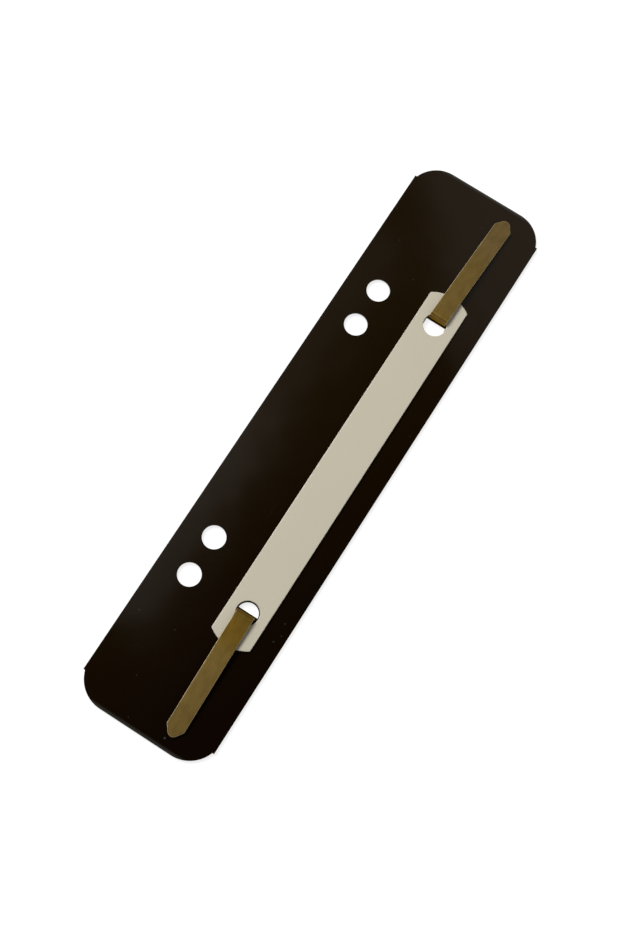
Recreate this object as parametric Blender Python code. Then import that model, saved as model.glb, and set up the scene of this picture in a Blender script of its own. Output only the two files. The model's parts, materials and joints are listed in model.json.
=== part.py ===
"""Filing strip for a ring binder.

A punched plastic strip carries a two-prong sheet-metal fastener. The fastener is one stamping:
a rail behind the strip, whose prongs are cut out of its own middle, bent up through the strip
and through the cover bar, and folded down outwards over the bar's ends.

Metres, +Z up, +X along the strip, filing holes on the +Y side and the fastener on the -Y side.
The origin is under the middle of the strip, on the surface that the rail lies on.
"""

from math import acos, asin, atan, cos, hypot, pi, radians, sin, tan

import bmesh
import bpy
from mathutils import Matrix

# Plastic strip
STRIP_LENGTH = 0.1500
STRIP_WIDTH = 0.0340
STRIP_THICKNESS = 0.0005
CORNER_RADIUS = 0.0078
CORNER_SETBACK = 0.0052
CORNER_STEP = 0.00045

# Filing holes: one row, two pitches, so that either hole standard fits on the binder's rings
FILING_HOLE_DIAMETER = 0.0055
FILING_PITCHES = (0.080, 0.060)
FILING_EDGE = 0.0079

# Fastener: pitch and place of the prongs, sheet, rail and bends
FASTENER_PITCH = 0.080
FASTENER_EDGE = 0.0105
SHEET = 0.00035
BEND_RADIUS = 0.0003
RISER_OFFSET = 0.0007
RAIL_WIDTH = 0.0100
RAIL_END_MARGIN = 0.0080
RAIL_END_RADIUS = 0.0085
WINDOW_GAP = 0.00035

# Prongs: the folded tongues, each folded a little askew
PRONG_WIDTH = 0.00445
PRONG_REACH = 0.0310
PRONG_TIP_RADIUS = 0.00145
PRONG_TIP_HALF_ANGLE = radians(35.5)
PRONG_TIP_HEIGHT = 0.00045
UPPER_SKEW = radians(-2.2)
LOWER_SKEW = radians(1.3)

# Cover bar: loose, so it lies a little off the middle
BAR_WIDTH = 0.0101
BAR_THICKNESS = 0.00055
BAR_END_MARGIN = 0.0085
BAR_END_RADIUS = 0.0085
BAR_PLAY = 0.0005
BAR_SHIFT = -0.0003

# Air left between pieces that lie on each other or pass through each other
CLEARANCE = 0.0002

# Facets on round outlines
CIRCLE_STEPS = 48
CORNER_STEPS = 16
END_STEPS = 20
TIP_STEPS = 10
BEND_STEPS = 5
ROOT_STEPS = 4
SHARP_ANGLE = radians(35.0)

# Share of the sheet's thickness taken by each round of a prong's root: a little flat is left between the two
ROOT_ROUND = 0.49

# Places across the strip
FILING_Y = STRIP_WIDTH / 2 - FILING_EDGE
FASTENER_Y = FASTENER_EDGE - STRIP_WIDTH / 2

# Heights, from the surface up: rail, strip, bar
STRIP_Z = SHEET + CLEARANCE
STRIP_TOP = STRIP_Z + STRIP_THICKNESS
BAR_Z = STRIP_TOP + CLEARANCE
BAR_TOP = BAR_Z + BAR_THICKNESS

# Places along the strip
HOLE_X = FASTENER_PITCH / 2
RISER_X = HOLE_X + RISER_OFFSET
ROOT_X = RISER_X + SHEET / 2 + BEND_RADIUS
RAIL_LENGTH = FASTENER_PITCH + 2 * RAIL_END_MARGIN
BAR_LENGTH = FASTENER_PITCH + 2 * BAR_END_MARGIN

# A prong droops from its fold to its tip, and clears the bar's end when the bar is lifted by its play
PRONG_FLOOR = BAR_TOP + BAR_PLAY + CLEARANCE
BAR_OVERHANG = BAR_LENGTH / 2 + abs(BAR_SHIFT) - RISER_X
DROOP = atan((PRONG_FLOOR - STRIP_TOP - PRONG_TIP_HEIGHT) / (PRONG_REACH - BAR_OVERHANG))
FOLD_Z = PRONG_FLOOR + BAR_OVERHANG * tan(DROOP) + SHEET / 2
RISER_TOP = FOLD_Z - SHEET / 2 - CLEARANCE

# Holes that the risers pass through, and the windows that the prongs were cut from
RISER_FACE = RISER_OFFSET + SHEET / 2
STRIP_HOLE_DIAMETER = 2 * (hypot(RISER_FACE, PRONG_WIDTH / 2) + CLEARANCE)
BAR_HOLE_DIAMETER = 2 * (hypot(RISER_FACE + abs(BAR_SHIFT), PRONG_WIDTH / 2) + CLEARANCE)
WINDOW_WIDTH = PRONG_WIDTH + 2 * WINDOW_GAP
WINDOW_LENGTH = FOLD_Z + PRONG_REACH + WINDOW_GAP

TOLERANCE = 1e-6


def clear_scene():
    for item in list(bpy.data.objects):
        bpy.data.objects.remove(item, do_unlink=True)


def arc(centre, radius, start, stop, steps):
    """Points on an arc, both ends included."""
    turn = (stop - start) / steps
    angles = [start + turn * step for step in range(steps + 1)]
    return [(centre[0] + radius * cos(a), centre[1] + radius * sin(a)) for a in angles]


def circle(x, y, diameter):
    """A closed ring of points."""
    return arc((x, y), diameter / 2, 0.0, 2 * pi, CIRCLE_STEPS)[:-1]


def strip_outline():
    """Each corner is an arc that ends in a small step out to the long edge."""
    sweep = acos(1 - CORNER_SETBACK / CORNER_RADIUS)
    centre_x = STRIP_LENGTH / 2 - CORNER_RADIUS
    centre_y = STRIP_WIDTH / 2 - CORNER_STEP - CORNER_RADIUS * sin(sweep)
    corner = arc((centre_x, centre_y), CORNER_RADIUS, 0.0, sweep, CORNER_STEPS)
    corner.append((corner[-1][0], STRIP_WIDTH / 2))
    upper_half = corner + [(-x, y) for x, y in reversed(corner)]
    return upper_half + [(-x, -y) for x, y in upper_half]


def round_ended_outline(length, width, end_radius):
    """A bar whose ends are shallow arcs from corner to corner."""
    sweep = asin(width / 2 / end_radius)
    end = arc((length / 2 - end_radius, 0.0), end_radius, -sweep, sweep, END_STEPS)
    return end + [(-x, -y) for x, y in end]


def tongue_outline(root, tip, width):
    """A straight tongue from x = root, tapering to a small round at x = tip."""
    half = width / 2
    normal = pi / 2 - PRONG_TIP_HALF_ANGLE
    nose = arc((tip - PRONG_TIP_RADIUS, 0.0), PRONG_TIP_RADIUS, -normal, normal, TIP_STEPS)
    shoulder = nose[-1][0] - (half - nose[-1][1]) / tan(PRONG_TIP_HALF_ANGLE)
    return [(root, -half), (shoulder, -half)] + nose + [(shoulder, half), (root, half)]


def window_outline(side):
    """The gap left by a prong's blank, with the prong's own root width marked on its outer end."""
    blank = tongue_outline(0.0, WINDOW_LENGTH, WINDOW_WIDTH)
    blank += [(0.0, PRONG_WIDTH / 2), (0.0, -PRONG_WIDTH / 2)]
    return [(side * (ROOT_X - inward), across) for inward, across in blank]


def plate(outline, holes, thickness):
    """A flat sheet of even thickness with its underside at z = 0."""
    bm = bmesh.new()
    for loop in [outline] + holes:
        corners = [bm.verts.new((x, y, 0.0)) for x, y in loop]
        for here, there in zip(corners, corners[1:] + corners[:1]):
            bm.edges.new((here, there))
    bmesh.ops.triangle_fill(bm, use_beauty=True, edges=bm.edges[:])
    lifted = bmesh.ops.extrude_face_region(bm, geom=bm.faces[:])["geom"]
    lifted_verts = [item for item in lifted if isinstance(item, bmesh.types.BMVert)]
    bmesh.ops.translate(bm, vec=(0.0, 0.0, thickness), verts=lifted_verts)
    bmesh.ops.recalc_face_normals(bm, faces=bm.faces[:])
    return bm


def pull_face(bm, face):
    """Extrude one face in place, drop the face left inside, and give the new end face."""
    pulled = bmesh.ops.extrude_face_region(bm, geom=[face])["geom"]
    bmesh.ops.delete(bm, geom=[face], context="FACES_ONLY")
    return [item for item in pulled if isinstance(item, bmesh.types.BMFace)][0]


def bend_up_riser(bm, side):
    """Turn the sheet up from the window's outer end, then run it straight up to the fold."""
    def on_root(vert):
        return abs(vert.co.x - side * ROOT_X) < TOLERANCE and abs(vert.co.y) < PRONG_WIDTH / 2 + TOLERANCE

    end = [face for face in bm.faces if all(on_root(vert) for vert in face.verts)][0]
    turn = Matrix.Rotation(side * pi / 2 / BEND_STEPS, 3, "Y")
    for step in range(BEND_STEPS):
        end = pull_face(bm, end)
        bmesh.ops.rotate(bm, cent=(side * ROOT_X, 0.0, SHEET + BEND_RADIUS), matrix=turn, verts=end.verts[:])
    end = pull_face(bm, end)
    bmesh.ops.translate(bm, vec=(0.0, 0.0, RISER_TOP - SHEET - BEND_RADIUS), verts=end.verts[:])


def round_root(bm):
    """Round the tongue's root edge about the fold's axis."""
    root_x = min(vert.co.x for vert in bm.verts)
    root_edges = [edge for edge in bm.edges if all(vert.co.x < root_x + TOLERANCE for vert in edge.verts)]
    across = [edge for edge in root_edges if abs(edge.verts[0].co.y - edge.verts[1].co.y) > TOLERANCE]
    along_width = [edge for edge in across if abs(edge.verts[0].co.z - edge.verts[1].co.z) < TOLERANCE]
    bmesh.ops.bevel(bm, geom=along_width, offset=ROOT_ROUND * SHEET, segments=ROOT_STEPS,
                    profile=0.5, affect="EDGES")


def finish_material(name, colour, roughness, metallic):
    material = bpy.data.materials.new(name)
    material.use_nodes = True
    shader = material.node_tree.nodes["Principled BSDF"]
    shader.inputs["Base Color"].default_value = (*colour, 1.0)
    shader.inputs["Roughness"].default_value = roughness
    shader.inputs["Metallic"].default_value = metallic
    return material


def add_object(name, bm, material, location, parent=None, rotation=(0.0, 0.0, 0.0)):
    mesh = bpy.data.meshes.new(name)
    bmesh.ops.recalc_face_normals(bm, faces=bm.faces[:])
    bm.to_mesh(mesh)
    bm.free()
    mesh.shade_smooth()
    mesh.set_sharp_from_angle(angle=SHARP_ANGLE)
    mesh.materials.append(material)
    item = bpy.data.objects.new(name, mesh)
    bpy.context.scene.collection.objects.link(item)
    item.location = location
    item.rotation_euler = rotation
    item.parent = parent
    return item


def add_base_strip(material):
    filing = [circle(side * pitch / 2, FILING_Y, FILING_HOLE_DIAMETER)
              for pitch in FILING_PITCHES for side in (1, -1)]
    passing = [circle(side * HOLE_X, FASTENER_Y, STRIP_HOLE_DIAMETER) for side in (1, -1)]
    sheet = plate(strip_outline(), filing + passing, STRIP_THICKNESS)
    add_object("base_strip", sheet, material, (0.0, 0.0, STRIP_Z))


def add_fastener_rail(material, frame):
    outline = round_ended_outline(RAIL_LENGTH, RAIL_WIDTH, RAIL_END_RADIUS)
    sheet = plate(outline, [window_outline(side) for side in (1, -1)], SHEET)
    for side in (1, -1):
        bend_up_riser(sheet, side)
    add_object("fastener_rail", sheet, material, (0.0, 0.0, 0.0), frame)


def add_prong(name, material, frame, side, skew):
    """A tongue with its origin on its fold line, drooping outwards over the end of the bar."""
    sheet = plate(tongue_outline(-SHEET / 2, PRONG_REACH, PRONG_WIDTH), [], SHEET)
    bmesh.ops.translate(sheet, vec=(0.0, 0.0, -SHEET / 2), verts=sheet.verts[:])
    round_root(sheet)
    heading = skew if side > 0 else pi + skew
    add_object(name, sheet, material, (side * RISER_X, 0.0, FOLD_Z), frame, (0.0, DROOP, heading))


def add_cover_bar(material, frame):
    outline = round_ended_outline(BAR_LENGTH, BAR_WIDTH, BAR_END_RADIUS)
    sheet = plate(outline, [circle(side * HOLE_X, 0.0, BAR_HOLE_DIAMETER) for side in (1, -1)], BAR_THICKNESS)
    add_object("cover_bar", sheet, material, (BAR_SHIFT, 0.0, BAR_Z), frame)


def main():
    clear_scene()
    frame = bpy.data.objects.new("fastener_frame", None)
    bpy.context.scene.collection.objects.link(frame)
    frame.location = (0.0, FASTENER_Y, 0.0)

    add_base_strip(finish_material("black_plastic", (0.012, 0.009, 0.006), 0.42, 0.0))
    add_fastener_rail(finish_material("rail_metal", (0.30, 0.23, 0.10), 0.38, 1.0), frame)
    add_prong("prong_upper", finish_material("upper_prong_metal", (0.32, 0.24, 0.10), 0.36, 1.0),
              frame, 1, UPPER_SKEW)
    add_prong("prong_lower", finish_material("lower_prong_metal", (0.32, 0.24, 0.10), 0.36, 1.0),
              frame, -1, LOWER_SKEW)
    add_cover_bar(finish_material("pale_grey_plastic", (0.55, 0.51, 0.40), 0.45, 0.0), frame)


main()
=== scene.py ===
"""Looks of a flat filing strip: black strip, pale cover bar and brass-toned prong fastener."""

import json
from math import acos, asin, cos, pi, radians, sin, tan

import bmesh
import bpy
from mathutils import Matrix, Vector


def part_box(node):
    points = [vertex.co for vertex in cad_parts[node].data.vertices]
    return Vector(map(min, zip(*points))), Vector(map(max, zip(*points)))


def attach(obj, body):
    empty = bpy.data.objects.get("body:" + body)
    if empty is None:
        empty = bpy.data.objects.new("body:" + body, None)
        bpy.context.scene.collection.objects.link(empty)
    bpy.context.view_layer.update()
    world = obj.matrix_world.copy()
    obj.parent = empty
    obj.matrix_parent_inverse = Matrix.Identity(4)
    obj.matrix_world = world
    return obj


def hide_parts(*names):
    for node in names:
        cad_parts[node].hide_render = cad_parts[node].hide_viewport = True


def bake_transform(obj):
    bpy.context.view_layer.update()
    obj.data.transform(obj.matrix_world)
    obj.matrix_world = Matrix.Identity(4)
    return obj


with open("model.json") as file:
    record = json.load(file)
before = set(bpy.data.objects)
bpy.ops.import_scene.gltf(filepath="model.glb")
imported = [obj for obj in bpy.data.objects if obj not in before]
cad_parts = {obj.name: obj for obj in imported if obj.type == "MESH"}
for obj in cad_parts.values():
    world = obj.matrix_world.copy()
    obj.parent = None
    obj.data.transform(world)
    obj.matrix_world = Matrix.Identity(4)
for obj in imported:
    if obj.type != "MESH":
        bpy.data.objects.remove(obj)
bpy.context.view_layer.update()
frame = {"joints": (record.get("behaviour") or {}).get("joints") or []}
hinges = {joint["child"]: joint for joint in frame["joints"] if joint["type"] == "hinge"}

MM = 0.001

# Strip: corner arcs that end in a small step, a row of filing holes and two holes for the prongs
CORNER_RADIUS = 7.8 * MM
CORNER_SETBACK = 5.2 * MM
CORNER_STEP = 0.45 * MM
FILING_HOLE_RADIUS = 2.75 * MM
FILING_HOLES_X = (40.0 * MM, 30.0 * MM)
FILING_Y = 9.1 * MM
UPPER_STRIP_HOLE = (39.6 * MM, 2.63 * MM)
LOWER_STRIP_HOLE = (-40.3 * MM, 2.48 * MM)
STRIP_EDGE = 0.06 * MM
STRIP_EDGE_STEPS = 3
END_ROLL = 0.7 * MM
END_DROP = 0.14 * MM

# Fastener and bar
FASTENER_Y = -6.5 * MM
HOLE_X = 40.0 * MM
SHEET = 0.35 * MM
BEND_RADIUS = 0.3 * MM
FOLD_RADIUS = 0.90 * MM
PRONG_WIDTH = 4.45 * MM
PRONG_REACH = 31.0 * MM
UPPER_REACH = 30.35 * MM
UPPER_SHIFT = 0.25 * MM
UPPER_SKEW = radians(-2.2)
LOWER_ASIDE = 0.18 * MM
LOWER_SKEW = radians(1.3)
PRONG_TIP_RADIUS = 1.45 * MM
PRONG_TIP_HALF_ANGLE = radians(35.5)
PRONG_DROOP = radians(2.500)
PRONG_EDGE = 0.16 * MM
PRONG_EDGE_STEPS = 3
RAIL_END_RADIUS = 8.5 * MM
RAIL_WIDTH = 10.0 * MM
RAIL_EDGE = 0.04 * MM
RAIL_EDGE_STEPS = 2
WINDOW_GAP = 0.35 * MM
ROOT_LEDGE = 0.50 * MM
# The riser is painted shade up to this height, deep in the holes
RISER_SHADE_TOP = 1.40 * MM
PAST_ROOT = 0.1 * MM
BAR_END_RADIUS = 8.5 * MM
BAR_HOLE_RADIUS = 2.716 * MM
BAR_TRIM = 0.33 * MM
BAR_EDGE = 0.16 * MM
BAR_EDGE_STEPS = 5

# Even rims round the holes and inside the strip's outline, where the edges are rounded
HOLE_RIM = 0.5 * MM
OUTLINE_RIM = 0.14 * MM

# Dust on the strip's face: x, y and radius in millimetres, and how much it covers
SPECKS = (
    (-72.65, -6.15, 0.30, 0.7),
    (-52.5, 14.0, 0.26, 0.4),
    (-52.0, 5.0, 0.22, 0.3),
    (-42.5, -14.7, 0.26, 0.4),
    (-40.5, -15.5, 0.22, 0.3),
    (-37.8, -14.7, 0.26, 0.3),
    (53.5, 11.5, 0.22, 0.3),
    (-64.7, 6.5, 0.22, 0.25),
)
SPECK_CORE = 0.6
SPECK_TONE = (0.06, 0.06, 0.06, 1.0)

# Black plastic: its own tone and its tone under the painted sheen, gloss, waviness, grain, dust and
# scratches
BLACK_AND_SHEEN_TONES = ((0.0040, 0.0015, 0.0002, 1.0), (0.0090, 0.0043, 0.0001, 1.0))
BLACK_ROUGHNESS = (0.095, 0.115)
BLACK_GLOSS = 0.3
BLACK_GLOSS_TINT = (1.0, 0.95, 0.87, 1.0)
SHEET_WAVE = 0.12 * MM
GRAIN_DEPTH = 0.01 * MM
BLACK_GRAIN = 0.12
FINE_DUST_COVER = 0.5
FINE_DUST_TONE = (0.06, 0.055, 0.05, 1.0)
SCRATCH_COVER = 0.12
SCRATCH_TONE = (0.05, 0.045, 0.04, 1.0)
SCRATCH_TURN = (0.0, 0.0, radians(35.0))
SCRATCH_STRETCH = (0.3, 1.0, 1.0)
SCRATCH_BREAKS = (0.55, 0.70)

# The strip's black is painted a little browner and lighter along this way, over this run: a painted
# warm sheen towards the key light
SHEEN_WAY = (1.0, 2.5, 0.0)
SHEEN_RUN = (-95.0 * MM, 40.0 * MM)

# A painted highlight along the short ends, where the sheet was cut and rolls off, over this run
END_HIGHLIGHT_RUN = (74.0 * MM, 74.75 * MM)
END_HIGHLIGHT_TONE = (0.0275, 0.0235, 0.0190, 1.0)

# Pale grey plastic of the bar
BAR_TONES = ((0.539, 0.494, 0.383, 1.0), (0.561, 0.516, 0.403, 1.0))
BAR_ROUGHNESS = (0.24, 0.32)
BAR_GRAIN = 0.2
BAR_DUST_COVER = 0.12
BAR_DUST_TONE = (0.30, 0.27, 0.22, 1.0)

# Brass: the dark and the light of its brushed lines, and its lowest and highest roughness
BRASS = ((0.162, 0.105, 0.027, 1.0), (0.222, 0.147, 0.045, 1.0), 0.34, 0.42)
# Paler brass for the cut edges and their rounding: a painted edge highlight
EDGE_HIGHLIGHT_BRASS = ((0.34, 0.27, 0.15, 1.0), (0.44, 0.36, 0.22, 1.0), 0.42, 0.52)
# Near-black brass: painted shade, for the rail's upper face and the riser's foot seen deep in the
# holes
PAINTED_SHADE_BRASS = ((0.012, 0.008, 0.004, 1.0), (0.020, 0.014, 0.008, 1.0), 0.5, 0.6)
STREAK_RANGE = (0.30, 0.70)
STREAK_GRAIN = 0.25
STREAK_DEPTH = 0.006 * MM
STREAK_STRETCH = (0.03, 1.0, 1.0)
BAND_RANGE = (0.40, 0.70)
BAND_COVER = 0.5
BAND_SHADE = 0.75
BAND_STRETCH = (0.5, 1.0, 1.0)
GLOSS_OWN_TONE = 1.5
GLOSS_WHITE = 0.5

# Colour casts painted on the tongues: distance from the fold where each is full and where it is gone,
# and its cast
# Upper tongue: painted warm shade near its fold, and a bluer cast towards its tip
UPPER_SHADE_AND_TINT = ((0.8, 3.0, (1.0, 0.93, 0.72)), (22.0, 16.0, (1.0, 1.02, 1.28)))
# Lower tongue: painted shade, deepest near its fold and fading out along the tongue
LOWER_PAINTED_SHADE = (
    (6.5, 9.5, (0.88, 0.79, 0.48)),
    (1.2, 3.2, (0.78, 0.84, 0.88)),
    (9.5, 16.0, (0.97, 0.96, 0.86)),
)
TONGUE_START = (-0.3 * MM, 0.3 * MM)

# The crest of each fold is painted brighter by this much, within this distance: a painted highlight
# that lifts the bend's shade
CREST_HIGHLIGHT = (1.55, 1.50, 1.45, 1.0)
CREST_RUN = (0.2 * MM, 0.8 * MM)

# Facets on the round outlines
CORNER_STEPS = 28
END_STEPS = 24
HOLE_STEPS = 72
NOSE_STEPS = 10
ROOT_STEPS = 6
FOLD_STEPS = 12
ROLL_CUTS = 5
ROLL_STEPS = 25

# Points this near to a place are at it, and points this near to each other are one
NEAR = 0.01 * MM
ON_RIM = 0.002 * MM
SAME_POINT = 0.001 * MM
SLIVER = 0.005 * MM

# Edges from the first angle on are rounded, and edges up to the second are shaded smooth
ROUNDED_FROM = radians(50.0)
SMOOTH_UP_TO = radians(40.0)

# A face is level if its normal is this upright, and the prongs' large faces lead their shading
LEVEL = 0.9999
FLATS_WEIGHT = 100

# Faces by how far they look up or aside: the rail's upper face, the tongue's flat and its cut sides
RAIL_FACE_UP = 0.5
TONGUE_FLAT = 0.98
CUT_SIDE = 0.2

# Sockets of the Mix node that carry colours
MIX_SHARE, MIX_FIRST, MIX_SECOND = 0, 6, 7
MIX_RESULT = 2

# Floor: white to the camera, with the object's shadow near it, fading to plain white further off
FLOOR_SIZE = 40.0
FLOOR_Z = -0.02 * MM
FLOOR_PLAIN = (0.8, 0.8, 0.8, 1.0)
FLOOR_SHADE = (0.28, 0.28, 0.28, 1.0)
FLOOR_GLOW = 0.80
FLOOR_FADE = (0.25, 0.60)

# Studio dome: height and grey level, from the horizon up
DOME_STOPS = ((0.0, 0.55), (0.30, 0.45), (0.60, 0.38), (0.75, 0.36), (0.92, 0.01))

# Soft boxes: name, place, size, power, and a turn for those that hang level
SOFT_BOXES = (
    ("key_soft_box", (0.17, 0.60, 1.00), (0.50, 0.50), 11.3, None),
    ("side_panel", (0.130, 0.288, 1.00), (0.24, 0.30), 0.135, 0.0),
    ("far_panel", (0.360, 0.282, 1.00), (0.22, 0.30), 0.055, 0.0),
    ("end_panel", (0.578, -0.068, 1.00), (0.50, 0.38), 0.25, radians(45.0)),
)

# Camera: focal length in millimetres, place, and the ways to its right, up and back
PHOTO_LENS = 55.22
PHOTO_SENSOR = 36.0
PHOTO_NEAREST = 0.01
PHOTO_PLACE = (-0.076430, -0.028568, 0.315731)
PHOTO_RIGHT = (0.53466, -0.84379, 0.04636)
PHOTO_UP = (0.81525, 0.52947, 0.23457)
PHOTO_BACK = (-0.22247, -0.08762, 0.97099)


# Drawing with one point, in edit mode

def start_piece(name):
    """An empty piece in edit mode, ready for outlines."""
    bpy.ops.object.select_all(action="DESELECT")
    bpy.ops.mesh.primitive_plane_add(size=MM)
    piece = bpy.context.object
    piece.name = name
    piece.data.name = name
    bpy.ops.object.mode_set(mode="EDIT")
    bpy.ops.mesh.select_mode(type="VERT")
    bpy.ops.mesh.select_all(action="SELECT")
    bpy.ops.mesh.delete(type="VERT")
    return piece


def pen_down(x, y, z=0.0):
    """Put down one point to draw from: a small plane merged into its middle."""
    bpy.ops.mesh.primitive_plane_add(size=MM)
    bpy.ops.mesh.merge(type="CENTER")
    bpy.ops.transform.translate(value=(x, y, z))


def draw(x=0.0, y=0.0, z=0.0):
    """Extrude what is selected along a straight line."""
    bpy.ops.mesh.extrude_region_move(TRANSFORM_OT_translate={"value": (x, y, z)})


def sweep(centre, angle, axis, steps):
    """Extrude what is selected round an axis, counter-clockwise for a positive angle."""
    bpy.ops.mesh.spin(steps=steps, angle=-angle, center=centre, axis=axis)


def select_points(piece, test):
    """Select the points whose place passes the test, with the edges and faces between them."""
    bpy.ops.mesh.select_mode(type="VERT")
    bpy.ops.mesh.select_all(action="DESELECT")
    mesh = bmesh.from_edit_mesh(piece.data)
    for point in mesh.verts:
        point.select = test(point.co)
    mesh.select_flush(True)
    bmesh.update_edit_mesh(piece.data)


def mirror_quarter(piece):
    """Mirror a quarter outline to all four corners, which closes it."""
    bpy.ops.object.mode_set(mode="OBJECT")
    mirror = piece.modifiers.new("four_corners", "MIRROR")
    mirror.use_axis = (True, True, False)
    mirror.merge_threshold = SAME_POINT
    bpy.ops.object.modifier_apply(modifier=mirror.name)
    bpy.ops.object.mode_set(mode="EDIT")


def fill_outlines():
    """Fill between the outer outline and the holes."""
    bpy.ops.mesh.select_all(action="SELECT")
    bpy.ops.mesh.fill(use_beauty=True)


def rim_outline():
    """Lay an even rim inside the outline, and leave only the rim's inner outline in sight."""
    bpy.ops.mesh.select_all(action="SELECT")
    bpy.ops.mesh.edge_face_add()
    bpy.ops.mesh.inset(thickness=OUTLINE_RIM)
    bpy.ops.mesh.hide(unselected=True)
    bpy.ops.mesh.delete(type="ONLY_FACE")


def fill_round_holes(piece, holes):
    """Fill the outline round its holes, each with an even rim that can be rounded."""
    for x, y, radius in holes:
        rim = radius + HOLE_RIM
        bpy.ops.mesh.primitive_circle_add(vertices=HOLE_STEPS, radius=rim, location=(x, y, 0.0))
    fill_outlines()
    for x, y, radius in holes:
        rim = radius + HOLE_RIM
        centre = Vector((x, y, 0.0))
        select_points(piece, lambda place: abs((place - centre).length - rim) < ON_RIM)
        bpy.ops.mesh.extrude_region()
        bpy.ops.transform.resize(value=(radius / rim, radius / rim, 1.0), center_override=centre)


def raise_sheet(thickness):
    """Give a flat filled outline its thickness, upwards."""
    bpy.ops.mesh.select_all(action="SELECT")
    draw(z=thickness)
    bpy.ops.mesh.select_all(action="SELECT")
    bpy.ops.mesh.normals_make_consistent(inside=False)


def place_all(x, y, z):
    bpy.ops.mesh.select_all(action="SELECT")
    bpy.ops.transform.translate(value=(x, y, z))


def round_edges(piece, width, steps):
    """Round the sheet's sharp edges, with no slivers left, and shade it smooth."""
    bpy.ops.object.mode_set(mode="OBJECT")
    rounding = piece.modifiers.new("rounded_edges", "BEVEL")
    rounding.width = width
    rounding.segments = steps
    rounding.limit_method = "ANGLE"
    rounding.angle_limit = ROUNDED_FROM
    bpy.ops.object.modifier_apply(modifier=rounding.name)
    bpy.ops.object.mode_set(mode="EDIT")
    bpy.ops.mesh.select_all(action="SELECT")
    bpy.ops.mesh.remove_doubles(threshold=SLIVER)
    bpy.ops.object.mode_set(mode="OBJECT")
    bpy.ops.object.shade_smooth_by_angle(angle=SMOOTH_UP_TO)


def shade_flats(piece):
    """Shade the level faces flat right up to the rounding."""
    bpy.ops.object.mode_set(mode="EDIT")
    bpy.ops.mesh.select_mode(type="EDGE")
    bpy.ops.mesh.select_all(action="DESELECT")
    mesh = bmesh.from_edit_mesh(piece.data)
    for edge in mesh.edges:
        level_sides = sum(abs(face.normal.z) > LEVEL for face in edge.link_faces)
        edge.select_set(level_sides == 1)
    bmesh.update_edit_mesh(piece.data)
    bpy.ops.mesh.mark_sharp()
    bpy.ops.object.mode_set(mode="OBJECT")


# Pieces

def make_strip():
    """The black strip: corner arcs, four filing holes, two prong holes and rolled ends."""
    low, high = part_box("base_strip")
    half_length = high.x
    half_width = high.y
    thickness = high.z - low.z
    turn = acos(1 - CORNER_SETBACK / CORNER_RADIUS)
    arc_x = half_length - CORNER_RADIUS
    arc_y = half_width - CORNER_STEP - CORNER_RADIUS * sin(turn)

    strip = start_piece("filing_strip")
    pen_down(half_length, 0.0)
    draw(y=arc_y)
    sweep((arc_x, arc_y, 0.0), turn, (0, 0, 1), CORNER_STEPS)
    draw(y=CORNER_STEP)
    draw(x=CORNER_SETBACK - half_length)
    mirror_quarter(strip)
    filing_holes = [(side * x, FILING_Y, FILING_HOLE_RADIUS)
                    for side in (1, -1) for x in FILING_HOLES_X]
    prong_holes = [(x, FASTENER_Y, radius) for x, radius in (UPPER_STRIP_HOLE, LOWER_STRIP_HOLE)]
    rim_outline()
    fill_round_holes(strip, filing_holes + prong_holes)
    bpy.ops.mesh.reveal(select=False)
    raise_sheet(thickness)
    round_edges(strip, STRIP_EDGE, STRIP_EDGE_STEPS)

    # The short ends roll off a little where the sheet was cut
    bpy.ops.object.mode_set(mode="EDIT")
    for cut in range(ROLL_CUTS):
        inset = END_ROLL * (1 - cut / ROLL_CUTS)
        for side in (1, -1):
            bpy.ops.mesh.select_all(action="SELECT")
            bpy.ops.mesh.bisect(plane_co=(side * (half_length - inset), 0, 0), plane_no=(1, 0, 0))
    for step in range(ROLL_STEPS):
        reach = half_length - END_ROLL * (1 - (step + 0.5) / ROLL_STEPS)
        select_points(strip, lambda place: abs(place.x) > reach and place.z > thickness / 2)
        drop = END_DROP * (2 * step + 1) / ROLL_STEPS ** 2
        bpy.ops.transform.translate(value=(0.0, 0.0, -drop))

    place_all(0.0, 0.0, low.z)
    shade_flats(strip)
    return strip


def make_bar():
    """The pale bar: round ends and a hole for each prong."""
    low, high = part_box("cover_bar")
    half_length = (high.x - low.x) / 2
    half_width = (high.y - low.y) / 2
    turn = asin(half_width / BAR_END_RADIUS)
    arc_x = half_length - BAR_END_RADIUS

    bar = start_piece("clamp_bar")
    pen_down(half_length, 0.0)
    sweep((arc_x, 0.0, 0.0), turn, (0, 0, 1), END_STEPS)
    draw(x=-arc_x - BAR_END_RADIUS * cos(turn))
    mirror_quarter(bar)

    # The upper end is cut a little shorter
    select_points(bar, lambda place: place.x > HOLE_X)
    bpy.ops.transform.translate(value=(-BAR_TRIM, 0.0, 0.0))
    fill_round_holes(bar, [(side * HOLE_X, 0.0, BAR_HOLE_RADIUS) for side in (1, -1)])
    raise_sheet(high.z - low.z)
    place_all((low.x + high.x) / 2, FASTENER_Y, low.z)
    round_edges(bar, BAR_EDGE, BAR_EDGE_STEPS)
    shade_flats(bar)
    return bar


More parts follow.
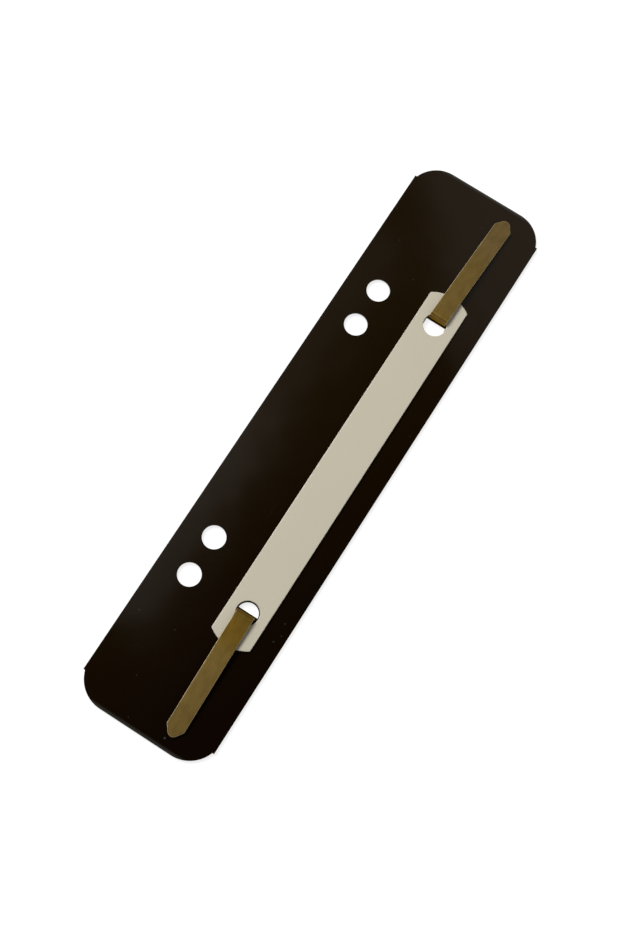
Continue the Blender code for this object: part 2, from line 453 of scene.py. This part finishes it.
def make_rail():
    """The fastener's flat back, with the window that each prong was cut from."""
    low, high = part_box("fastener_rail")
    half_length = high.x
    half_width = RAIL_WIDTH / 2
    turn = asin(half_width / RAIL_END_RADIUS)
    arc_x = half_length - RAIL_END_RADIUS
    fold = Vector(hinges["upper_prong"]["pos_m"])
    root_x = fold.x + SHEET / 2 + BEND_RADIUS
    window_x = fold.x - SHEET / 2

    rail = start_piece("back_rail")
    pen_down(half_length, 0.0)
    sweep((arc_x, 0.0, 0.0), turn, (0, 0, 1), END_STEPS)
    draw(x=-arc_x - RAIL_END_RADIUS * cos(turn))

    # Each window has a prong's outline, with a gap round it
    half_gap = PRONG_WIDTH / 2 + WINDOW_GAP
    tip_x = root_x - (fold.z + PRONG_REACH + WINDOW_GAP)
    nose_x = tip_x + PRONG_TIP_RADIUS
    lean = pi / 2 - PRONG_TIP_HALF_ANGLE
    nose_top = PRONG_TIP_RADIUS * sin(lean)
    pen_down(tip_x, 0.0)
    sweep((nose_x, 0.0, 0.0), -lean, (0, 0, 1), NOSE_STEPS)
    taper = (half_gap - nose_top) / tan(PRONG_TIP_HALF_ANGLE)
    draw(x=taper, y=half_gap - nose_top)
    draw(x=window_x - (nose_x - PRONG_TIP_RADIUS * cos(lean) + taper))
    draw(y=-half_gap)
    mirror_quarter(rail)
    fill_outlines()
    raise_sheet(SHEET)

    # The upper window reaches a little further out, and a ledge is left at the lower prong's root,
    # whose painted shade shows beside the prong through the hole
    for end, shift in ((window_x, UPPER_SHIFT), (-window_x, ROOT_LEDGE)):
        select_points(
            rail, lambda place: abs(place.x - end) < NEAR and abs(place.y) < half_gap + NEAR)
        bpy.ops.transform.translate(value=(shift, 0.0, 0.0))
    place_all(0.0, FASTENER_Y, low.z)
    round_edges(rail, RAIL_EDGE, RAIL_EDGE_STEPS)
    shade_flats(rail)
    return rail


def make_prong(name, side, body, skew, shift, reach):
    """One bent strip of sheet: up from the rail, through strip and bar, then folded outwards."""
    fold = Vector(hinges[body]["pos_m"]) + Vector(shift)
    root_x = fold.x + side * (SHEET / 2 + BEND_RADIUS)
    turn = pi / 2 + PRONG_DROOP
    tangent = FOLD_RADIUS * tan(turn / 2)
    riser_top = fold.z - tangent
    along = Vector((side * cos(PRONG_DROOP), 0.0, -sin(PRONG_DROOP)))

    prong = start_piece(name)
    pen_down(root_x, fold.y - PRONG_WIDTH / 2, SHEET / 2)
    draw(y=PRONG_WIDTH)
    bpy.ops.mesh.select_all(action="SELECT")
    sweep((root_x, fold.y, SHEET + BEND_RADIUS), side * pi / 2, (0, 1, 0), ROOT_STEPS)
    # An edge where the riser's painted shade ends
    draw(z=RISER_SHADE_TOP - SHEET - BEND_RADIUS)
    draw(z=riser_top - RISER_SHADE_TOP)
    sweep((fold.x + side * FOLD_RADIUS, fold.y, riser_top), side * turn, (0, 1, 0), FOLD_STEPS)

    apex = reach - PRONG_TIP_RADIUS + PRONG_TIP_RADIUS / sin(PRONG_TIP_HALF_ANGLE)
    shoulder = apex - PRONG_WIDTH / 2 / tan(PRONG_TIP_HALF_ANGLE)
    draw(*(along * (shoulder - tangent)))
    draw(*(along * (apex - shoulder)))
    bpy.ops.mesh.merge(type="CENTER")
    nose_offset = PRONG_TIP_RADIUS / tan(PRONG_TIP_HALF_ANGLE)
    bpy.ops.mesh.bevel(affect="VERTICES", offset=nose_offset, segments=NOSE_STEPS, profile=0.5)

    # The fold is a little askew
    past_root = abs(root_x) + PAST_ROOT
    select_points(prong, lambda place: place.z > riser_top + NEAR or abs(place.x) > past_root)
    bpy.ops.transform.rotate(value=-skew, orient_axis="Z", center_override=fold)
    bpy.ops.mesh.select_all(action="SELECT")
    bpy.ops.mesh.remove_doubles(threshold=SAME_POINT)
    bpy.ops.mesh.normals_make_consistent(inside=False)

    bpy.ops.object.mode_set(mode="OBJECT")
    sheet = prong.modifiers.new("sheet_thickness", "SOLIDIFY")
    sheet.thickness = SHEET
    sheet.offset = 0.0
    sheet.use_even_offset = True
    bpy.ops.object.modifier_apply(modifier=sheet.name)
    round_edges(prong, PRONG_EDGE, PRONG_EDGE_STEPS)
    shading = prong.modifiers.new("even_flats", "WEIGHTED_NORMAL")
    shading.weight = FLATS_WEIGHT
    shading.keep_sharp = True
    bpy.ops.object.modifier_apply(modifier=shading.name)
    return prong, fold, tangent, along


# Materials

def set_up(tree, kind, inputs=None, **settings):
    """Add a node, with its settings, and with each input set or linked."""
    made = tree.nodes.new(kind)
    for key, value in settings.items():
        setattr(made, key, value)
    for key, value in (inputs or {}).items():
        if isinstance(value, bpy.types.NodeSocket):
            tree.links.new(value, made.inputs[key])
        else:
            made.inputs[key].default_value = value
    return made


def use_group(tree, group, inputs):
    return set_up(tree, "ShaderNodeGroup", inputs, node_tree=group).outputs


def calculate(tree, operation, first, second=0.0):
    made = set_up(tree, "ShaderNodeMath", {0: first, 1: second}, operation=operation)
    return made.outputs["Value"]


def spread(tree, value, low, high, start=0.0, end=1.0, ease="LINEAR"):
    """Map a value from start..end to low..high."""
    inputs = {"Value": value, "From Min": start, "From Max": end, "To Min": low, "To Max": high}
    return set_up(tree, "ShaderNodeMapRange", inputs, interpolation_type=ease).outputs["Result"]


def mix_colours(tree, share, first, second, blend="MIX"):
    inputs = {MIX_SHARE: share, MIX_FIRST: first, MIX_SECOND: second}
    made = set_up(tree, "ShaderNodeMix", inputs, data_type="RGBA", blend_type=blend)
    return made.outputs[MIX_RESULT]


def bump(tree, height, strength, depth, base=None):
    inputs = {"Height": height, "Strength": strength, "Distance": depth}
    if base is not None:
        inputs["Normal"] = base
    return set_up(tree, "ShaderNodeBump", inputs).outputs["Normal"]


def start_group(name, inputs, outputs):
    tree = bpy.data.node_groups.new(name, "ShaderNodeTree")
    for label, kind in inputs:
        tree.interface.new_socket(label, in_out="INPUT", socket_type=kind)
    for label, kind in outputs:
        tree.interface.new_socket(label, in_out="OUTPUT", socket_type=kind)
    return tree, tree.nodes.new("NodeGroupInput").outputs, tree.nodes.new("NodeGroupOutput").inputs


def start_material(name):
    material = bpy.data.materials.new(name)
    material.use_nodes = True
    tree = material.node_tree
    return material, tree, tree.nodes["Principled BSDF"]


# Shared effects

def make_sheet_grain():
    """Fine surface grain, and a slow drift of tone."""
    tree, given, out = start_group(
        "sheet_grain",
        [("Place", "NodeSocketVector"), ("Grain", "NodeSocketFloat"), ("Drift", "NodeSocketFloat")],
        [("Height", "NodeSocketFloat"), ("Cloud", "NodeSocketFloat")])
    fine = set_up(tree, "ShaderNodeTexNoise",
                  {"Vector": given["Place"], "Scale": given["Grain"], "Detail": 3.0})
    slow = set_up(tree, "ShaderNodeTexNoise",
                  {"Vector": given["Place"], "Scale": given["Drift"], "Detail": 2.0})
    tree.links.new(fine.outputs["Fac"], out["Height"])
    tree.links.new(slow.outputs["Fac"], out["Cloud"])
    return tree


def make_lint():
    """Sparse specks of dust: a round dot in a share of the cells of a loose grid."""
    tree, given, out = start_group(
        "lint",
        [("Place", "NodeSocketVector"), ("Spacing", "NodeSocketFloat"), ("Size", "NodeSocketFloat"),
         ("Share", "NodeSocketFloat")],
        [("Mask", "NodeSocketFloat")])
    cells = set_up(tree, "ShaderNodeTexVoronoi",
                   {"Vector": given["Place"], "Scale": given["Spacing"]}, voronoi_dimensions="2D")
    chance = set_up(tree, "ShaderNodeSeparateColor", {"Color": cells.outputs["Color"]})
    chosen = calculate(tree, "LESS_THAN", chance.outputs["Red"], given["Share"])
    dot = spread(tree, cells.outputs["Distance"], 0.0, 1.0, given["Size"], 0.0)
    tree.links.new(calculate(tree, "MULTIPLY", dot, chosen), out["Mask"])
    return tree


def make_speck():
    """One soft round speck of dust at a given place on the face."""
    tree, given, out = start_group(
        "speck",
        [("Place", "NodeSocketVector"), ("Centre", "NodeSocketVector"),
         ("Size", "NodeSocketFloat")],
        [("Mask", "NodeSocketFloat")])
    flat = set_up(tree, "ShaderNodeVectorMath", {0: given["Place"], 1: (1.0, 1.0, 0.0)},
                  operation="MULTIPLY")
    away = set_up(tree, "ShaderNodeVectorMath", {0: flat.outputs["Vector"], 1: given["Centre"]},
                  operation="DISTANCE")
    tree.links.new(spread(tree, away.outputs["Value"], 0.0, 1.0, given["Size"], 0.0), out["Mask"])
    return tree


def make_hairlines():
    """A few faint, broken scratches, where a slow noise passes through its middle."""
    tree, given, out = start_group(
        "hairlines",
        [("Place", "NodeSocketVector"), ("Spacing", "NodeSocketFloat"),
         ("Width", "NodeSocketFloat")],
        [("Mask", "NodeSocketFloat")])
    drawn = set_up(tree, "ShaderNodeMapping",
                   {"Vector": given["Place"], "Rotation": SCRATCH_TURN, "Scale": SCRATCH_STRETCH})
    lines = set_up(tree, "ShaderNodeTexNoise",
                   {"Vector": drawn.outputs["Vector"], "Scale": given["Spacing"], "Detail": 0.0})
    aside = calculate(tree, "ABSOLUTE", calculate(tree, "SUBTRACT", lines.outputs["Fac"], 0.5))
    thin = spread(tree, aside, 0.0, 1.0, given["Width"], 0.0)
    breaks = set_up(tree, "ShaderNodeTexNoise",
                    {"Vector": given["Place"], "Scale": 140.0, "Detail": 2.0})
    kept = spread(tree, breaks.outputs["Fac"], 0.0, 1.0, *SCRATCH_BREAKS)
    tree.links.new(calculate(tree, "MULTIPLY", thin, kept), out["Mask"])
    return tree


def make_brushing():
    """Lines brushed along the sheet: the first coordinate runs along it, the second across."""
    tree, given, out = start_group(
        "brushing",
        [("Run", "NodeSocketVector"), ("Lines", "NodeSocketFloat")],
        [("Streak", "NodeSocketFloat"), ("Band", "NodeSocketFloat")])
    stretched = set_up(tree, "ShaderNodeMapping", {"Vector": given["Run"], "Scale": STREAK_STRETCH})
    fine = set_up(tree, "ShaderNodeTexNoise",
                  {"Vector": stretched.outputs["Vector"], "Scale": given["Lines"], "Detail": 4.0,
                   "Roughness": 0.7})
    broad = set_up(tree, "ShaderNodeMapping", {"Vector": given["Run"], "Scale": BAND_STRETCH})
    band = set_up(tree, "ShaderNodeTexNoise",
                  {"Vector": broad.outputs["Vector"], "Scale": 700.0, "Detail": 3.0})
    tree.links.new(fine.outputs["Fac"], out["Streak"])
    tree.links.new(band.outputs["Fac"], out["Band"])
    return tree


# Finishes

def black_strip_finish(grain, lint, speck, hairlines):
    """Satin black plastic, a little wavy, with dust and faint scratches, a painted warm sheen and a
    painted highlight along its short ends.
    """
    material, tree, shader = start_material("black_strip_plastic")
    place = set_up(tree, "ShaderNodeTexCoord").outputs["Object"]
    surface = use_group(tree, grain, {"Place": place, "Grain": 7000.0, "Drift": 40.0})
    fine_dust = use_group(tree, lint,
                          {"Place": place, "Spacing": 150.0, "Size": 0.030, "Share": 0.10})
    scratches = use_group(tree, hairlines, {"Place": place, "Spacing": 70.0, "Width": 0.0035})

    # Tone of the sheet, with a painted warm sheen towards the key light and a painted highlight along
    # its short ends
    along = set_up(tree, "ShaderNodeVectorMath", {0: place, 1: SHEEN_WAY}, operation="DOT_PRODUCT")
    sheen_share = spread(tree, along.outputs["Value"], 0.0, 1.0, *SHEEN_RUN)
    tone = mix_colours(tree, sheen_share, *BLACK_AND_SHEEN_TONES)
    # Painted highlight along the short ends
    length = set_up(tree, "ShaderNodeSeparateXYZ", {"Vector": place}).outputs["X"]
    pale = spread(tree, calculate(tree, "ABSOLUTE", length), 0.0, 1.0, *END_HIGHLIGHT_RUN, ease="SMOOTHSTEP")
    tone = mix_colours(tree, pale, tone, END_HIGHLIGHT_TONE)

    # What lies on it
    scratched = spread(tree, scratches["Mask"], 0.0, SCRATCH_COVER)
    tone = mix_colours(tree, scratched, tone, SCRATCH_TONE)
    dusty = spread(tree, fine_dust["Mask"], 0.0, FINE_DUST_COVER)
    tone = mix_colours(tree, dusty, tone, FINE_DUST_TONE)
    for x, y, size, cover in SPECKS:
        centre = (x * MM, y * MM, 0.0)
        spot = use_group(tree, speck, {"Place": place, "Centre": centre, "Size": size * MM})
        covered = spread(tree, spot["Mask"], 0.0, cover, 0.0, SPECK_CORE)
        tone = mix_colours(tree, covered, tone, SPECK_TONE)

    tree.links.new(tone, shader.inputs["Base Color"])
    tree.links.new(spread(tree, surface["Cloud"], *BLACK_ROUGHNESS), shader.inputs["Roughness"])
    wavy = bump(tree, surface["Cloud"], 1.0, SHEET_WAVE)
    grained = bump(tree, surface["Height"], BLACK_GRAIN, GRAIN_DEPTH, wavy)
    tree.links.new(grained, shader.inputs["Normal"])
    shader.inputs["Specular IOR Level"].default_value = BLACK_GLOSS
    shader.inputs["Specular Tint"].default_value = BLACK_GLOSS_TINT
    return material


def pale_bar_finish(grain, lint):
    """Satin pale grey plastic, with a little dust."""
    material, tree, shader = start_material("pale_bar_plastic")
    place = set_up(tree, "ShaderNodeTexCoord").outputs["Object"]
    surface = use_group(tree, grain, {"Place": place, "Grain": 5000.0, "Drift": 60.0})
    specks = use_group(tree, lint, {"Place": place, "Spacing": 320.0, "Size": 0.04, "Share": 0.10})
    tone = mix_colours(tree, surface["Cloud"], *BAR_TONES)
    dusty = spread(tree, specks["Mask"], 0.0, BAR_DUST_COVER)
    tone = mix_colours(tree, dusty, tone, BAR_DUST_TONE)
    tree.links.new(tone, shader.inputs["Base Color"])
    tree.links.new(spread(tree, surface["Height"], *BAR_ROUGHNESS), shader.inputs["Roughness"])
    tree.links.new(bump(tree, surface["Height"], BAR_GRAIN, GRAIN_DEPTH), shader.inputs["Normal"])
    return material


def brass_finish(name, brushing, dark, light, rough_low, rough_high, painted_casts=()):
    """Brushed brass, with a painted highlight at the fold's crest and painted shade and tint along
    the tongue.
    """
    material, tree, shader = start_material(name)
    run = set_up(tree, "ShaderNodeUVMap", uv_map="sheet_run").outputs["UV"]
    lines = use_group(tree, brushing, {"Run": run, "Lines": 9000.0})
    tone = mix_colours(tree, spread(tree, lines["Streak"], 0.0, 1.0, *STREAK_RANGE), dark, light)
    worn = spread(tree, lines["Band"], 0.0, BAND_COVER, *BAND_RANGE)
    tone = mix_colours(tree, worn, tone, tuple(BAND_SHADE * c for c in dark[:3]) + (1.0,))

    # The run along the sheet is 0 at the fold, and positive on the tongue
    along = set_up(tree, "ShaderNodeSeparateXYZ", {"Vector": run}).outputs["X"]
    # Painted highlight at the fold's crest
    crest = spread(tree, calculate(tree, "ABSOLUTE", along), 1.0, 0.0, *CREST_RUN)
    tone = mix_colours(tree, crest, tone, CREST_HIGHLIGHT, blend="MULTIPLY")
    on_tongue = spread(tree, along, 0.0, 1.0, *TONGUE_START)
    # Painted shade and tint along the tongue, by distance from the fold
    for full, gone, cast in painted_casts:
        cast_reach = spread(tree, along, 1.0, 0.0, full * MM, gone * MM)
        share = calculate(tree, "MULTIPLY", cast_reach, on_tongue)
        tone = mix_colours(tree, share, tone, cast + (1.0,), blend="MULTIPLY")

    tree.links.new(tone, shader.inputs["Base Color"])
    rough = spread(tree, lines["Streak"], rough_low, rough_high, *STREAK_RANGE)
    tree.links.new(rough, shader.inputs["Roughness"])
    tree.links.new(bump(tree, lines["Streak"], STREAK_GRAIN, STREAK_DEPTH), shader.inputs["Normal"])
    shader.inputs["Metallic"].default_value = 1.0
    white = GLOSS_WHITE * max(light[:3])
    gloss = tuple(GLOSS_OWN_TONE * c + white for c in light[:3])
    shader.inputs["Specular Tint"].default_value = gloss + (1.0,)
    return material


def lay_run_map(piece, fold=Vector(), skew=0.0):
    """Lay a map along the sheet in metres: 0 at the fold, less down the riser, more on the tongue."""
    layer = piece.data.uv_layers.new(name="sheet_run")
    back = Matrix.Rotation(-skew, 3, "Z")
    for loop in piece.data.loops:
        place = back @ (piece.data.vertices[loop.vertex_index].co - fold)
        layer.data[loop.index].uv = (abs(place.x + fold.x) - abs(fold.x) + place.z, place.y)


# Studio

def make_floor():
    """A white floor that keeps a faint shadow under the strip."""
    bpy.ops.object.select_all(action="DESELECT")
    bpy.ops.mesh.primitive_plane_add(size=FLOOR_SIZE, location=(0.0, 0.0, FLOOR_Z))
    floor = bpy.context.object
    floor.name = "studio_floor"
    material = bpy.data.materials.new("white_paper")
    material.use_nodes = True
    tree = material.node_tree
    tree.nodes.clear()

    # Near the object the floor takes its shadow; further off it is plain white
    shade = set_up(tree, "ShaderNodeBsdfDiffuse", {"Color": FLOOR_SHADE}).outputs["BSDF"]
    glow = set_up(tree, "ShaderNodeEmission", {"Strength": FLOOR_GLOW}).outputs["Emission"]
    near = set_up(tree, "ShaderNodeAddShader", {0: shade, 1: glow}).outputs["Shader"]
    white = set_up(tree, "ShaderNodeEmission", {"Strength": 1.0}).outputs["Emission"]
    place = set_up(tree, "ShaderNodeTexCoord").outputs["Object"]
    away = set_up(tree, "ShaderNodeVectorMath", {0: place}, operation="LENGTH").outputs["Value"]
    far = spread(tree, away, 0.0, 1.0, *FLOOR_FADE, ease="SMOOTHSTEP")
    bright = set_up(tree, "ShaderNodeMixShader", {0: far, 1: near, 2: white}).outputs["Shader"]

    # The camera and reflections see that; other light meets plain paper
    path = set_up(tree, "ShaderNodeLightPath").outputs
    reflected = calculate(tree, "MAXIMUM", path["Is Glossy Ray"], path["Is Transmission Ray"])
    seen = calculate(tree, "MAXIMUM", path["Is Camera Ray"], reflected)
    plain = set_up(tree, "ShaderNodeBsdfDiffuse", {"Color": FLOOR_PLAIN}).outputs["BSDF"]
    mixed = set_up(tree, "ShaderNodeMixShader", {0: seen, 1: plain, 2: bright}).outputs["Shader"]
    set_up(tree, "ShaderNodeOutputMaterial", {"Surface": mixed})
    floor.data.materials.append(material)


def make_soft_box(name, place, size, power, turn):
    """A soft light, aimed at the strip, or hung level and turned about the vertical."""
    light = bpy.data.lights.new(name, "AREA")
    light.shape = "RECTANGLE"
    light.size, light.size_y = size
    light.energy = power
    box = bpy.data.objects.new(name, light)
    bpy.context.scene.collection.objects.link(box)
    box.location = place
    if turn is None:
        box.rotation_euler = (-Vector(place)).to_track_quat("-Z", "Y").to_euler()
    else:
        box.rotation_euler = (0.0, 0.0, turn)


def make_world():
    """A grey dome, darker overhead, that the camera sees as white."""
    world = bpy.data.worlds.new("studio_dome")
    bpy.context.scene.world = world
    world.use_nodes = True
    tree = world.node_tree
    dome = tree.nodes["Background"]
    way = set_up(tree, "ShaderNodeTexCoord").outputs["Generated"]
    height = set_up(tree, "ShaderNodeSeparateXYZ", {"Vector": way}).outputs["Z"]
    ramp = set_up(tree, "ShaderNodeValToRGB", {"Fac": height})
    stops = ramp.color_ramp.elements
    stops[0].position, stops[-1].position = DOME_STOPS[0][0], DOME_STOPS[-1][0]
    for place, _ in DOME_STOPS[1:-1]:
        stops.new(place)
    for stop, (_, level) in zip(stops, DOME_STOPS):
        stop.color = (level, level, level, 1.0)
    ramp.color_ramp.interpolation = "EASE"
    seen = set_up(tree, "ShaderNodeLightPath").outputs["Is Camera Ray"]
    colour = mix_colours(tree, seen, ramp.outputs["Color"], (1.0, 1.0, 1.0, 1.0))
    tree.links.new(colour, dome.inputs["Color"])
    dome.inputs["Strength"].default_value = 1.0


def make_camera():
    """The camera as it stood for the photo."""
    lens = bpy.data.cameras.new("photo_view")
    lens.lens = PHOTO_LENS
    lens.sensor_width = PHOTO_SENSOR
    lens.clip_start = PHOTO_NEAREST
    camera = bpy.data.objects.new("photo_view", lens)
    bpy.context.scene.collection.objects.link(camera)
    turned = Matrix((PHOTO_RIGHT, PHOTO_UP, PHOTO_BACK)).transposed().to_4x4()
    camera.matrix_world = Matrix.Translation(PHOTO_PLACE) @ turned
    bpy.context.scene.camera = camera


def main():
    grain, lint, speck, hairlines = make_sheet_grain(), make_lint(), make_speck(), make_hairlines()
    brushing = make_brushing()
    black = black_strip_finish(grain, lint, speck, hairlines)
    pale = pale_bar_finish(grain, lint)
    brass = brass_finish("brass_sheet", brushing, *BRASS)
    upper_brass = brass_finish("upper_tongue_brass", brushing, *BRASS, painted_casts=UPPER_SHADE_AND_TINT)
    lower_brass = brass_finish("lower_tongue_brass", brushing, *BRASS, painted_casts=LOWER_PAINTED_SHADE)
    # Paler brass, painted as the cut edges' highlight
    cut = brass_finish("painted_highlight_edge_brass", brushing, *EDGE_HIGHLIGHT_BRASS)
    # Near-black brass, painted as shade
    dark = brass_finish("rail_and_riser_painted_shade", brushing, *PAINTED_SHADE_BRASS)

    strip = make_strip()
    strip.data.materials.append(black)
    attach(strip, "strip")
    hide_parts("base_strip")

    bar = make_bar()
    bar.data.materials.append(pale)
    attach(bar, "bar")
    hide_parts("cover_bar")

    rail = make_rail()
    for finish in (brass, dark):
        rail.data.materials.append(finish)
    # The rail's upper face is painted shade, which shows through the holes
    for face in rail.data.polygons:
        face.material_index = 1 if face.normal.z > RAIL_FACE_UP else 0
    lay_run_map(rail)
    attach(rail, "strip")
    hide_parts("fastener_rail")

    prongs = (
        ("upper_tongue", 1, "upper_prong", "prong_upper",
         UPPER_SKEW, (UPPER_SHIFT, 0.0, 0.0), UPPER_REACH, upper_brass),
        ("lower_tongue", -1, "lower_prong", "prong_lower",
         LOWER_SKEW, (0.0, LOWER_ASIDE, 0.0), PRONG_REACH, lower_brass),
    )
    for name, side, body, node, skew, shift, reach, sheet in prongs:
        prong, fold, tangent, along = make_prong(name, side, body, skew, shift, reach)
        for finish in (sheet, cut, dark):
            prong.data.materials.append(finish)
        nose_x = abs(fold.x) + reach - PRONG_TIP_RADIUS
        for face in prong.data.polygons:
            out_x = abs(face.center.x)
            on_nose = out_x > nose_x and face.normal.z < TONGUE_FLAT
            # The riser's foot, deep in the holes, is painted shade
            if face.center.z < RISER_SHADE_TOP and out_x < abs(fold.x) + SHEET:
                face.material_index = 2
            # The nose and the cut sides are painted with the edge highlight
            elif on_nose or abs(face.normal.y) > CUT_SIDE:
                face.material_index = 1
        lay_run_map(prong, fold, skew)
        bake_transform(prong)
        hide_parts(node)

    make_floor()
    make_world()
    for soft_box in SOFT_BOXES:
        make_soft_box(*soft_box)
    make_camera()

    bpy.context.scene.view_settings.view_transform = "Standard"


main()
